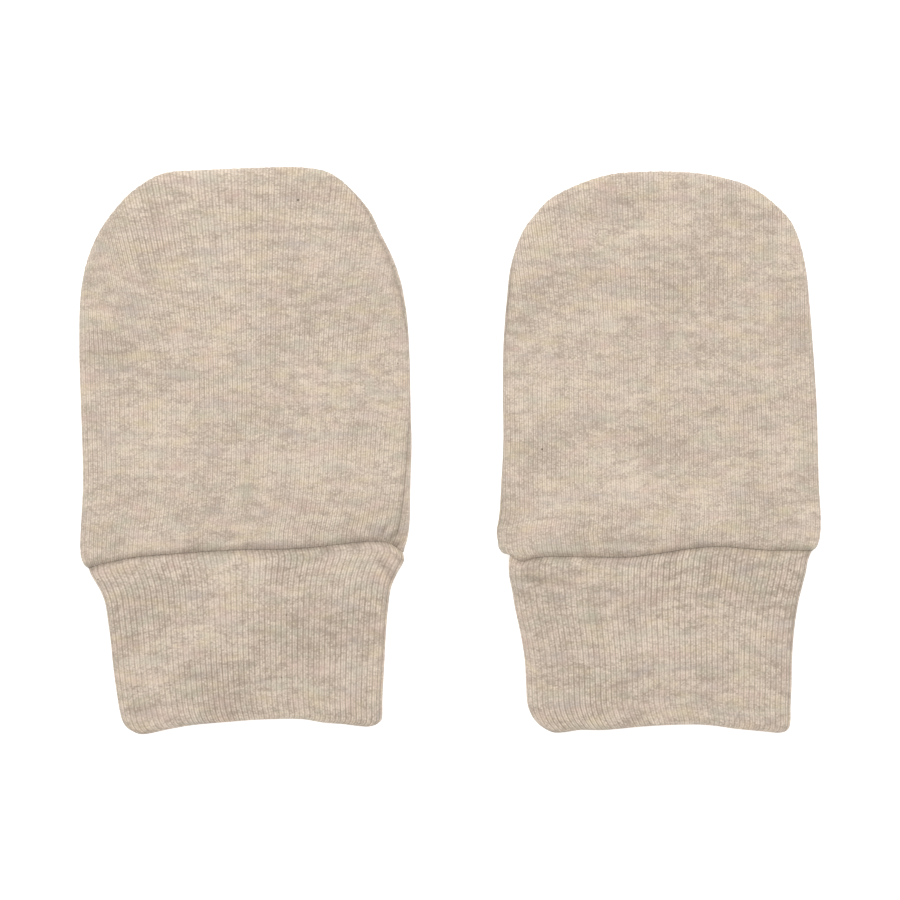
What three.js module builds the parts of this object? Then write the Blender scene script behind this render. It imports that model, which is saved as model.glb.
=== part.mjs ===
// A pair of baby mittens in fine rib knit, laid flat side by side with the cuffs towards the viewer.
// Sizes are millimetres. +X runs to the right, +Y towards the fingertips, +Z up from the table.
import * as THREE from 'three';

// Thickness of the hand cloth, and of the doubled cuff cloth that is folded at its hem
const HAND_WALL = 1.1;
const CUFF_WALL = 1.6;
// Slit left between two pieces where they are sewn together
const SEAM_SLIT = 0.3;
// Hollow left inside the flattened cuff
const CUFF_HOLLOW = 0.4;

// Heights above the table
const BACK_RIM_HEIGHT = 1.7;
const FRONT_HEIGHT = 3.35;
const CUFF_HEIGHT = 3.6;

// The ridge that the seam allowance raises inside the edge of a hand's front panel
const RIDGE_RISE = 0.4;
const RIDGE_INSET = 4.2;
const RIDGE_SPREAD = 2.3;

// Groove where the hand meets the cuff: how far both dip, and how far the dip reaches
const GROOVE_DROP = 0.8;
const GROOVE_LIFT = 0.3;
const GROOVE_REACH = 1.1;
const CUFF_GROOVE_DROP = 0.7;
const CUFF_GROOVE_SHARE = 0.035;

// Rolled edge of a panel along its side seam: width of the roll outside and inside
const SIDE_ROLL = 1.9;
const SIDE_ROLL_INSIDE = 0.8;

// Length of edge over which the groove at the cuff turns into the rolled side seam
const CORNER_RUN_ON_SIDE = 5;
const CORNER_RUN_ON_GROOVE = 3;
const CORNER_SHARE = 0.3;

// Ribs around a cuff and the depth of the furrows between them
const CUFF_RIBS = 104;
const RIB_DEPTH = 0.35;
const RIB_FADE_AT_GROOVE = 0.5;

// Half of a hand's width and height, which set how its loops shrink towards the middle
const HAND_HALF_WIDTH = 35;
const HAND_HALF_HEIGHT = 42;
const HAND_MIDDLE_UP = 38.5;

// Steps along a hand's groove, and around its sides and tip up to shares of that way
const GROOVE_STEPS = 20;
const SIDE_RUNS = [
  { from: 0, to: 0.04, steps: 4 },
  { from: 0.04, to: 0.2, steps: 4 },
  { from: 0.2, to: 0.8, steps: 36 },
  { from: 0.8, to: 0.96, steps: 4 },
  { from: 0.96, to: 1, steps: 4 },
];

// Insets of a panel's loops from its edge, outer face and inner face
const FRONT_INSETS = [0, 0.25, 0.8, 1.9, 3, 4.5, 6.5, 10, 19, 28];
const BACK_INSETS = [0, 0.25, 0.8, 1.9, 6, 19];
const INNER_INSETS = [0, 0.35, 1.4, 6, 19];

// Shares of a cuff's length at which its outer and inner loops lie
const CUFF_STATIONS = [0, 0.012, 0.035, 0.14, 0.3, 0.5, 0.7, 0.88];
const CUFF_INNER_STATIONS = [0.75, 0.4, 0.1, 0];
const HEM_POINTS = CUFF_RIBS;
const CUFF_INNER_POINTS = 52;

const HAND_COLOUR = 0xcfbfae;
const CUFF_COLOUR = 0xc6b5a4;
const CLOTH_ROUGHNESS = 0.95;

// Each mitten: where its own origin lies on the table, the hand's width at rising heights, the
// points over its tip, the cuff's sides at shares of its length, and the seam and hem lines at
// shares of its width
const LEFT_MITTEN = {
  name: 'left',
  place: { x: -43.35, y: -21.2 },
  hand: [
    { up: 2.3, left: -34.9, right: 34.2 },
    { up: 6.1, left: -34.7, right: 34.7 },
    { up: 14.6, left: -34.3, right: 34.9 },
    { up: 23.1, left: -34.5, right: 35.1 },
    { up: 31.6, left: -34.8, right: 34.9 },
    { up: 42.2, left: -35.1, right: 34.7 },
    { up: 52.8, left: -34.9, right: 33.7 },
    { up: 60.4, left: -33.7, right: 31.7 },
    { up: 67.2, left: -30.8, right: 28.8 },
    { up: 72.7, left: -27.1, right: 25.8 },
  ],
  tip: [
    { across: -23.1, up: 76.6 },
    { across: -17.0, up: 79.6 },
    { across: -8.5, up: 80.5 },
    { across: 3.2, up: 81.0 },
    { across: 12.7, up: 81.0 },
    { across: 18.9, up: 78.9 },
  ],
  cuff: [
    { down: 0, left: -33.2, right: 33.4 },
    { down: 0.05, left: -32.5, right: 33.7 },
    { down: 0.12, left: -31.0, right: 32.3 },
    { down: 0.2, left: -29.8, right: 31.0 },
    { down: 0.3, left: -29.2, right: 30.4 },
    { down: 0.45, left: -28.5, right: 29.9 },
    { down: 0.6, left: -28.0, right: 29.6 },
    { down: 0.75, left: -27.3, right: 29.3 },
    { down: 0.86, left: -26.7, right: 29.1 },
    { down: 0.93, left: -26.1, right: 29.1 },
    { down: 0.97, left: -25.3, right: 29.0 },
    { down: 1, left: -24.1, right: 28.3 },
  ],
  edges: [
    { across: 0, seam: -3.8, hem: -38.3 },
    { across: 0.04, seam: -3.0, hem: -38.9 },
    { across: 0.08, seam: -2.4, hem: -38.7 },
    { across: 0.15, seam: -1.5, hem: -37.9 },
    { across: 0.25, seam: -0.9, hem: -37.0 },
    { across: 0.4, seam: -0.2, hem: -36.4 },
    { across: 0.5, seam: 0.1, hem: -36.1 },
    { across: 0.62, seam: 0.2, hem: -36.0 },
    { across: 0.7, seam: 0.5, hem: -36.1 },
    { across: 0.78, seam: 1.1, hem: -36.5 },
    { across: 0.86, seam: 1.7, hem: -37.0 },
    { across: 0.92, seam: 1.9, hem: -37.2 },
    { across: 0.96, seam: 1.4, hem: -37.3 },
    { across: 1, seam: -0.4, hem: -36.8 },
  ],
};

const RIGHT_MITTEN = {
  name: 'right',
  place: { x: 44.84, y: -21.84 },
  hand: [
    { up: 2.3, left: -34.6, right: 33.2 },
    { up: 4.7, left: -34.9, right: 33.6 },
    { up: 8.5, left: -34.3, right: 33.6 },
    { up: 15.3, left: -33.6, right: 33.2 },
    { up: 23.7, left: -33.5, right: 33.0 },
    { up: 32.2, left: -33.6, right: 32.7 },
    { up: 42.8, left: -33.5, right: 32.0 },
    { up: 53.4, left: -32.8, right: 31.2 },
    { up: 61.1, left: -31.5, right: 30.3 },
    { up: 67.8, left: -29.2, right: 28.5 },
    { up: 72.1, left: -26.4, right: 25.9 },
  ],
  tip: [
    { across: -22.9, up: 75.3 },
    { across: -17.2, up: 78.3 },
    { across: -10.4, up: 80.1 },
    { across: -2.3, up: 80.7 },
    { across: 6.1, up: 80.6 },
    { across: 12.9, up: 79.5 },
    { across: 19.3, up: 77.0 },
  ],
  cuff: [
    { down: 0, left: -32.2, right: 31.8 },
    { down: 0.05, left: -32.5, right: 31.0 },
    { down: 0.12, left: -32.4, right: 30.5 },
    { down: 0.2, left: -31.8, right: 29.7 },
    { down: 0.3, left: -31.2, right: 28.8 },
    { down: 0.45, left: -30.0, right: 28.0 },
    { down: 0.6, left: -29.1, right: 27.6 },
    { down: 0.75, left: -28.8, right: 27.5 },
    { down: 0.86, left: -28.5, right: 27.3 },
    { down: 0.93, left: -27.5, right: 27.3 },
    { down: 0.97, left: -26.3, right: 27.1 },
    { down: 1, left: -25.0, right: 26.5 },
  ],
  edges: [
    { across: 0, seam: -0.3, hem: -37.1 },
    { across: 0.04, seam: -1.7, hem: -37.9 },
    { across: 0.08, seam: -1.0, hem: -37.9 },
    { across: 0.15, seam: -0.7, hem: -37.7 },
    { across: 0.25, seam: -0.8, hem: -37.4 },
    { across: 0.4, seam: -0.8, hem: -37.0 },
    { across: 0.5, seam: 0.0, hem: -36.8 },
    { across: 0.62, seam: 1.1, hem: -36.7 },
    { across: 0.7, seam: 1.4, hem: -36.8 },
    { across: 0.78, seam: 1.0, hem: -37.1 },
    { across: 0.86, seam: 0.6, hem: -37.5 },
    { across: 0.92, seam: 0.6, hem: -37.8 },
    { across: 0.96, seam: 0.6, hem: -38.0 },
    { across: 1, seam: 0.5, hem: -37.8 },
  ],
};

// Rise of a quarter ellipse: 0 at its foot, 1 from its end onwards
function quarterRise(share) {
  const rest = 1 - THREE.MathUtils.clamp(share, 0, 1);
  return Math.sqrt(1 - rest * rest);
}

// Smooth curve through the named columns of a table
function curveThrough(rows, key, columns) {
  const places = rows.map((row) => row[key]);
  const values = rows.flatMap((row) => columns.map((column) => row[column]));
  const curve = new THREE.CubicInterpolant(places, values, columns.length);
  return (place) => [...curve.evaluate(place)];
}

// Closed skin through a row of loops. A first and last loop of one point close a panel; without
// them the last loop is joined to the first one, as in a tube with a wall.
function skinThrough(loops) {
  const points = [];
  const faces = [];
  const starts = loops.map((loop) => {
    const start = points.length;
    points.push(...loop);
    return start;
  });
  const join = (first, second) => {
    const countA = loops[first].length;
    const countB = loops[second].length;
    let a = 0;
    let b = 0;
    while (a < countA || b < countB) {
      const nextA = a < countA ? (a + 1) / countA : Infinity;
      const nextB = b < countB ? (b + 1) / countB : Infinity;
      const cornerA = starts[first] + (a % countA);
      const cornerB = starts[second] + (b % countB);
      if (nextA <= nextB) {
        if (countA > 1) {
          faces.push(cornerA, starts[first] + ((a + 1) % countA), cornerB);
        }
        a += 1;
      } else {
        if (countB > 1) {
          faces.push(cornerA, starts[second] + ((b + 1) % countB), cornerB);
        }
        b += 1;
      }
    }
  };
  for (let index = 0; index + 1 < loops.length; index += 1) {
    join(index, index + 1);
  }
  if (loops[0].length > 1) {
    join(loops.length - 1, 0);
  }
  return { points, faces };
}

// Named mesh of a skin moved to its mitten's place, with its faces turned outwards
function meshOf(name, skin, place, colour) {
  const { points, faces } = skin;
  let volume = 0;
  for (let index = 0; index < faces.length; index += 3) {
    const [a, b, c] = faces.slice(index, index + 3).map((corner) => points[corner]);
    volume += a.dot(b.clone().cross(c));
  }
  const outward = volume > 0 ? faces : faces.slice().reverse();
  const geometry = new THREE.BufferGeometry().setFromPoints(points);
  geometry.setIndex(outward);
  geometry.translate(place.x, place.y, 0);
  geometry.computeVertexNormals();
  const material = new THREE.MeshStandardMaterial({
    color: colour,
    roughness: CLOTH_ROUGHNESS,
    metalness: 0,
  });
  const mesh = new THREE.Mesh(geometry, material);
  mesh.name = name;
  return mesh;
}

// Closed edge of a hand: along the groove from left to right, then up the right side, over the
// tip and down the left side. Every point keeps its share of side seam, 0 at the groove. The
// last point falls on the first one and is dropped.
function handEdge(mitten) {
  const [seamLeft, seamRight] = curveThrough(mitten.cuff, 'down', ['left', 'right'])(0);
  const seamAt = curveThrough(mitten.edges, 'across', ['seam']);
  const groovePoint = (across) => new THREE.Vector2(
    THREE.MathUtils.lerp(seamLeft, seamRight, across),
    seamAt(across)[0] + SEAM_SLIT / 2,
  );
  const edge = [];
  const width = seamRight - seamLeft;
  for (let step = 0; step <= GROOVE_STEPS; step += 1) {
    const across = (1 - Math.cos((Math.PI * step) / GROOVE_STEPS)) / 2;
    const fromCorner = Math.min(across, 1 - across) * width;
    const fade = 1 - THREE.MathUtils.smoothstep(fromCorner, 0, CORNER_RUN_ON_GROOVE);
    edge.push({ at: groovePoint(across), side: CORNER_SHARE * fade });
  }
  const round = [
    groovePoint(1),
    ...mitten.hand.map((row) => new THREE.Vector2(row.right, row.up)),
    ...mitten.tip.map((row) => new THREE.Vector2(row.across, row.up)).reverse(),
    ...mitten.hand.map((row) => new THREE.Vector2(row.left, row.up)).reverse(),
    groovePoint(0),
  ];
  const curve = new THREE.SplineCurve(round);
  const length = curve.getLength();
  for (const run of SIDE_RUNS) {
    for (let step = 1; step <= run.steps; step += 1) {
      const share = THREE.MathUtils.lerp(run.from, run.to, step / run.steps);
      const fromCorner = Math.min(share, 1 - share) * length;
      const rise = THREE.MathUtils.smoothstep(fromCorner, 0, CORNER_RUN_ON_SIDE);
      edge.push({
        at: curve.getPointAt(share),
        side: THREE.MathUtils.lerp(CORNER_SHARE, 1, rise),
      });
    }
  }
  edge.pop();
  return edge;
}

// Loop of a hand's edge drawn inwards by an inset, each point set to a height
function handLoop(edge, insetOf, heightOf) {
  return edge.map(({ at, side }) => {
    const inset = insetOf(side);
    const across = at.x * (1 - inset / HAND_HALF_WIDTH);
    const up = HAND_MIDDLE_UP + (at.y - HAND_MIDDLE_UP) * (1 - inset / HAND_HALF_HEIGHT);
    return new THREE.Vector3(across, up, heightOf(inset, side));
  });
}

// Top of a front panel away from its rolled edge, with the ridge over the seam allowance
function frontCrown(inset) {
  const away = (inset - RIDGE_INSET) / RIDGE_SPREAD;
  return FRONT_HEIGHT + RIDGE_RISE * Math.exp(-away * away);
}

// Skin of a hand panel from the heights of its outer and inner face
function panelSkin(edge, outerInsets, outerHeight, innerHeight) {
  const middle = (height) => [new THREE.Vector3(0, HAND_MIDDLE_UP, height)];
  const wallAt = (side) => HAND_WALL * side;
  const outer = outerInsets.map((inset) => handLoop(edge, () => inset, outerHeight));
  const inner = INNER_INSETS.map((inset) => handLoop(
    edge,
    (side) => inset + wallAt(side),
    (drawn, side) => innerHeight(drawn, side, wallAt(side)),
  ));
  return skinThrough([
    middle(outerHeight(HAND_HALF_WIDTH, 1)),
    ...outer.reverse(),
    ...inner,
    middle(innerHeight(HAND_HALF_WIDTH, 1, HAND_WALL)),
  ]);
}

// Front panel: it rises over a roll from the side seam, and over a soft dip from the groove
function handFront(mitten) {
  const rim = BACK_RIM_HEIGHT + SEAM_SLIT;
  const outerHeight = (inset, side) => {
    const drop = THREE.MathUtils.lerp(GROOVE_DROP, frontCrown(0) - rim, side);
    const roll = THREE.MathUtils.lerp(GROOVE_REACH, SIDE_ROLL, side);
    return frontCrown(inset) - drop * (1 - quarterRise(inset / roll));
  };
  const innerHeight = (inset, side, start) => {
    const drop = THREE.MathUtils.lerp(GROOVE_DROP, frontCrown(0) - HAND_WALL - rim, side);
    const roll = THREE.MathUtils.lerp(GROOVE_REACH, SIDE_ROLL_INSIDE, side);
    return frontCrown(inset) - HAND_WALL - drop * (1 - quarterRise((inset - start) / roll));
  };
  const skin = panelSkin(handEdge(mitten), FRONT_INSETS, outerHeight, innerHeight);
  return meshOf(`${mitten.name}_hand_front`, skin, mitten.place, HAND_COLOUR);
}

// Back panel: flat on the table, its edge turned up to meet the front panel's edge
function handBack(mitten) {
  const outerHeight = (inset, side) => {
    const lift = THREE.MathUtils.lerp(GROOVE_LIFT, BACK_RIM_HEIGHT, side);
    const roll = THREE.MathUtils.lerp(GROOVE_REACH, SIDE_ROLL, side);
    return lift * (1 - quarterRise(inset / roll));
  };
  const innerHeight = (inset, side, start) => {
    const lift = THREE.MathUtils.lerp(GROOVE_LIFT, BACK_RIM_HEIGHT - HAND_WALL, side);
    const roll = THREE.MathUtils.lerp(GROOVE_REACH, SIDE_ROLL_INSIDE, side);
    return HAND_WALL + lift * (1 - quarterRise((inset - start) / roll));
  };
  const skin = panelSkin(handEdge(mitten), BACK_INSETS, outerHeight, innerHeight);
  return meshOf(`${mitten.name}_hand_back`, skin, mitten.place, HAND_COLOUR);
}

// Point at a share of the way around a flattened tube, starting at its left end and passing over
// the top, with the direction out of it
function flatTubePoint(share, width, height) {
  const radius = height / 2;
  const flat = width - height;
  const arc = (Math.PI * radius) / 2;
  const half = share <= 0.5 ? share : 1 - share;
  const upper = share <= 0.5 ? 1 : -1;
  const run = half * 2 * (flat + 2 * arc);
  let across = run - arc + radius;
  let angle = Math.PI / 2;
  if (run < arc) {
    angle = run / radius;
    across = radius * (1 - Math.cos(angle));
  } else if (run > arc + flat) {
    angle = Math.PI / 2 + (run - arc - flat) / radius;
    across = width - radius * (1 + Math.cos(angle));
  }
  const out = new THREE.Vector2(-Math.cos(angle), upper * Math.sin(angle));
  return { across, above: radius + radius * out.y, out };
}

// Cuff: one flattened tube of doubled rib cloth, folded at the hem, ribs raised outside
function cuff(mitten) {
  const sidesAt = curveThrough(mitten.cuff, 'down', ['left', 'right']);
  const edgesAt = curveThrough(mitten.edges, 'across', ['seam', 'hem']);
  const [seamMiddle, hemMiddle] = edgesAt(0.5);
  const length = seamMiddle - hemMiddle;
  const depthAt = (down) => {
    const rise = quarterRise(down / CUFF_GROOVE_SHARE);
    return {
      lift: GROOVE_LIFT * (1 - rise),
      height: CUFF_HEIGHT - (GROOVE_LIFT + CUFF_GROOVE_DROP) * (1 - rise),
      ribs: RIB_DEPTH * THREE.MathUtils.lerp(RIB_FADE_AT_GROOVE, 1, rise),
    };
  };
  // Loop at a share of the length, drawn into the wall by an inset, with ribs of a share of depth
  const loopAt = (down, count, inset, ribShare) => {
    const [left, right] = sidesAt(down);
    const { lift, height, ribs } = depthAt(down);
    const width = right - left;
    const loop = [];
    for (let index = 0; index < count; index += 1) {
      const turn = index / count;
      const point = flatTubePoint(turn, width - 2 * inset, height - 2 * inset);
      const furrow = (1 - Math.cos(2 * Math.PI * turn * CUFF_RIBS)) / 2;
      const cut = furrow * ribs * ribShare;
      const across = point.across + inset - cut * point.out.x;
      const [seam, hem] = edgesAt(THREE.MathUtils.clamp(across / width, 0, 1));
      loop.push(new THREE.Vector3(
        left + across,
        THREE.MathUtils.lerp(seam - SEAM_SLIT / 2, hem, down),
        lift + point.above + inset - cut * point.out.y,
      ));
    }
    return loop;
  };
  const wallAt = (down) => (depthAt(down).height - CUFF_HOLLOW) / 2;
  const fold = CUFF_WALL / 2;
  const foldStart = 1 - fold / length;
  const foldBend = 1 - (fold * (1 - Math.SQRT1_2)) / length;
  const bendInset = fold * (1 - Math.SQRT1_2);
  const ribPoints = 2 * CUFF_RIBS;
  const skin = skinThrough([
    ...CUFF_STATIONS.map((down) => loopAt(down, ribPoints, 0, 1)),
    loopAt(foldStart, ribPoints, 0, 1),
    loopAt(foldBend, ribPoints, bendInset, 1),
    loopAt(1, HEM_POINTS, fold, 0),
    loopAt(foldBend, CUFF_INNER_POINTS, CUFF_WALL - bendInset, 0),
    loopAt(foldStart, CUFF_INNER_POINTS, CUFF_WALL, 0),
    ...CUFF_INNER_STATIONS.map((down) => loopAt(down, CUFF_INNER_POINTS, wallAt(down), 0)),
  ]);
  return meshOf(`${mitten.name}_cuff`, skin, mitten.place, CUFF_COLOUR);
}

const pair = new THREE.Group();
pair.name = 'baby_mittens';
for (const mitten of [LEFT_MITTEN, RIGHT_MITTEN]) {
  pair.add(handFront(mitten), handBack(mitten), cuff(mitten));
}

export default pair;
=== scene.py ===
"""A pair of baby mittens in heather rib knit, laid flat side by side on a pale table.

Lengths of the mittens are held in millimetres and written to the meshes in metres. +X runs to
the right, +Y towards the fingertips and +Z up from the table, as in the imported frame.
"""

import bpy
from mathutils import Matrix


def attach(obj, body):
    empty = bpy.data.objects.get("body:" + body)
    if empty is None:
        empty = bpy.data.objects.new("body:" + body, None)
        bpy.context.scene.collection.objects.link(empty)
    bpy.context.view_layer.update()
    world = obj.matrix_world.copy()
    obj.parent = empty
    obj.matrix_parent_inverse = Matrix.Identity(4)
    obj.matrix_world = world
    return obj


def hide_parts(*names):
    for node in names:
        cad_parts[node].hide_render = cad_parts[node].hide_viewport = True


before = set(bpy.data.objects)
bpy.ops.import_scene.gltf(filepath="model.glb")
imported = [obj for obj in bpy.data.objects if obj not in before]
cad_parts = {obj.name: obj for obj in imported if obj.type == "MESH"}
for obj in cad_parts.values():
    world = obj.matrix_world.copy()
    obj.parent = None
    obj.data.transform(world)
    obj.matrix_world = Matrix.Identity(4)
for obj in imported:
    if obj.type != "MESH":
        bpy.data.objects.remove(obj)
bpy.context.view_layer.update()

import logging
import math
from bisect import bisect_right
from dataclasses import dataclass
from enum import Enum
from typing import Callable, Optional, Sequence, TypeVar

import bmesh
import bpy
from mathutils import Vector
from mathutils.kdtree import KDTree

MM = 0.001
UV_NAME = "knit"
UV_UNIT = 100.0
# Name of the vertex attribute of painted shade, 0 to 1, for the groove, the seams and fold
# troughs.
PAINTED_SHADE_ATTRIBUTE = "crease"
SAME_PLACE = 1e-6
OUTLINE_STEPS = 14
FIRST_COLOUR = 6
SECOND_COLOUR = 7
MIXED_COLOUR = 2

Row = TypeVar("Row")

log = logging.getLogger("mittens")


def clamp(value: float, low: float = 0.0, high: float = 1.0) -> float:
    """Keep a value between two limits."""
    return max(low, min(high, value))


def mix(first: float, second: float, share: float) -> float:
    """Blend two values by a share."""
    return first + (second - first) * share


def ease(value: float, start: float, end: float) -> float:
    """Rise smoothly from 0 to 1.

    Args:
        value: the value to read.
        start: where the rise starts.
        end: where it ends.

    Returns:
        The share risen.
    """
    share = clamp((value - start) / (end - start))
    return share * share * (3.0 - 2.0 * share)


def hump(distance: float, spread: float) -> float:
    """Soft bell, 1 at no distance."""
    return math.exp(-((distance / spread) ** 2))


def waver(place: float) -> float:
    """Uneven width of the groove's painted shade.

    Args:
        place: millimetres along the groove.

    Returns:
        A factor of about 1.25, drifting slowly with a small quick wave on it.
    """
    slow = math.sin(0.83 * place) * math.sin(0.31 * place + 1.3)
    quick = math.sin(1.9 * place + 0.5)
    return 1.25 + 0.5 * slow + 0.2 * quick


def fold_shade(folds: float) -> float:
    """Painted shade in a trough, 0 to 1, by the height that folds add there."""
    return clamp(-2.2 * folds - 0.2)


@dataclass(frozen=True)
class GrooveShade:
    """How the painted shade of the groove between hand and cuff fades away from it, as a narrow
    and a wide bell, in millimetres."""

    narrow: float
    wide: float
    narrow_share: float

    def at(self, distance: float, place: float) -> float:
        """How much painted shade the cloth gets near the groove.

        Args:
            distance: distance from the groove.
            place: place along it.

        Returns:
            The share of painted shade.
        """
        uneven_shade = waver(place)
        near = hump(distance, self.narrow * uneven_shade)
        return mix(hump(distance, self.wide * uneven_shade), near, self.narrow_share)


def stretch(places: Sequence[float], place: float) -> tuple[int, float]:
    """Find the stretch between two rising places that holds a third.

    Args:
        places: the rising places.
        place: the place to find.

    Returns:
        The index where the stretch starts and the share of the way along it, held at the ends.
    """
    end = bisect_right(places, place, 1, len(places) - 1)
    start = end - 1
    return start, clamp((place - places[start]) / (places[end] - places[start]))


class LineTable:
    """Columns of values read by a rising place, straight from row to row."""

    def __init__(self, places: Sequence[float], *columns: Sequence[float]) -> None:
        """Keep the rows that lie further on than the ones before them.

        Args:
            places: the place of each row.
            columns: the values of each column.
        """
        kept: list[int] = []
        for index, place in enumerate(places):
            if not kept or place > places[kept[-1]] + SAME_PLACE:
                kept.append(index)
        self.places = [places[index] for index in kept]
        self.columns = [[column[index] for index in kept] for column in columns]

    def at(self, place: float) -> list[float]:
        """Value of each column at a place, held at the ends."""
        index, share = stretch(self.places, place)
        return [mix(column[index], column[index + 1], share) for column in self.columns]


def rows(kind: Callable[..., Row], *table: tuple) -> tuple[Row, ...]:
    """Rows of one kind, each from the values of its fields in their order."""
    return tuple(kind(*values) for values in table)


@dataclass(frozen=True)
class HandRow:
    """Width of a hand at one height above its seam, in millimetres."""

    up: float
    left: float
    right: float


@dataclass(frozen=True)
class TipPoint:
    """A point of the outline over the tip, in millimetres."""

    across: float
    up: float


@dataclass(frozen=True)
class CuffRow:
    """Sides of a cuff at a share of its length."""

    down: float
    left: float
    right: float


@dataclass(frozen=True)
class EdgeRow:
    """Seam line and hem line at a share of the cuff's width."""

    across: float
    seam: float
    hem: float


@dataclass(frozen=True)
class RibRow:
    """How one rib of a hand runs: its share of the width, where it ends over the tip, and how
    far it is pulled sideways at the seam."""

    share: float
    tip_across: float
    seam_pull: float


@dataclass(frozen=True)
class SeamRow:
    """How far the side seam lies up over the front, at a share of the way round the hand from
    its lower right corner to its lower left one."""

    share: float
    climb: float


@dataclass(frozen=True)
class Crease:
    """A soft trough or ridge that runs between two points, in a mitten's own millimetres.

    A positive rise is a ridge and a negative one a trough.
    """

    start: tuple[float, float]
    end: tuple[float, float]
    spread: float
    rise: float
    reach: float = 3.0
    end_share: float = 0.25
    fade_power: float = 0.7

    def at(self, across: float, up: float) -> float:
        """Height that the crease adds at a point.

        Args:
            across: place across the mitten.
            up: place up the mitten.

        Returns:
            The height, fading out towards both ends and to the sides.
        """
        along_x = self.end[0] - self.start[0]
        along_y = self.end[1] - self.start[1]
        length = math.hypot(along_x, along_y)
        share = ((across - self.start[0]) * along_x + (up - self.start[1]) * along_y) / length**2
        kept = clamp(share)
        away = math.hypot(
            across - self.start[0] - kept * along_x, up - self.start[1] - kept * along_y
        )
        if away > self.reach * self.spread:
            return 0.0
        fade = mix(self.end_share, 1.0, math.sin(math.pi * kept) ** self.fade_power)
        return self.rise * fade * hump(away, self.spread)


class RowCurve:
    """A smooth curve of one named column of some rows over another, which rises."""

    def __init__(self, table: Sequence[object], place: str, value: str) -> None:
        """Read the two columns and work out the slope at each row.

        Args:
            table: the rows.
            place: name of the column that rises.
            value: name of the column to read.
        """
        self.places = [getattr(row, place) for row in table]
        self.values = [getattr(row, value) for row in table]
        last = len(self.places) - 1
        self.slopes = []
        for index in range(last + 1):
            before = max(index - 1, 0)
            after = min(index + 1, last)
            run = self.places[after] - self.places[before]
            self.slopes.append((self.values[after] - self.values[before]) / run)

    def at(self, place: float) -> float:
        """Read the curve.

        Args:
            place: where to read it.

        Returns:
            Its value there, held at its ends.
        """
        index, share = stretch(self.places, place)
        span = self.places[index + 1] - self.places[index]
        square = share * share
        cube = square * share
        return (
            (2 * cube - 3 * square + 1) * self.values[index]
            + (cube - 2 * square + share) * span * self.slopes[index]
            + (3 * square - 2 * cube) * self.values[index + 1]
            + (cube - square) * span * self.slopes[index + 1]
        )


def smooth_path(points: Sequence[Vector], steps: int) -> list[Vector]:
    """Points of a smooth path through the given ones.

    Args:
        points: the points that the path passes through.
        steps: how many steps each stretch between two of them gets.

    Returns:
        The path's points, its two ends included.
    """
    path = []
    last = len(points) - 1
    for index in range(last):
        before = points[max(index - 1, 0)]
        start = points[index]
        end = points[index + 1]
        after = points[min(index + 2, last)]
        for step in range(steps):
            share = step / steps
            path.append(
                0.5
                * (
                    2 * start
                    + (end - before) * share
                    + (2 * before - 5 * start + 4 * end - after) * share**2
                    + (3 * start - before - 3 * end + after) * share**3
                )
            )
    path.append(points[last].copy())
    return path


@dataclass(frozen=True)
class Foot:
    """Nearest place on a hand's outline: the point there, the way in from it, the signed
    distance inside it and the share of the way round."""

    point: Vector
    inward: Vector
    inside: float
    share: float


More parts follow.
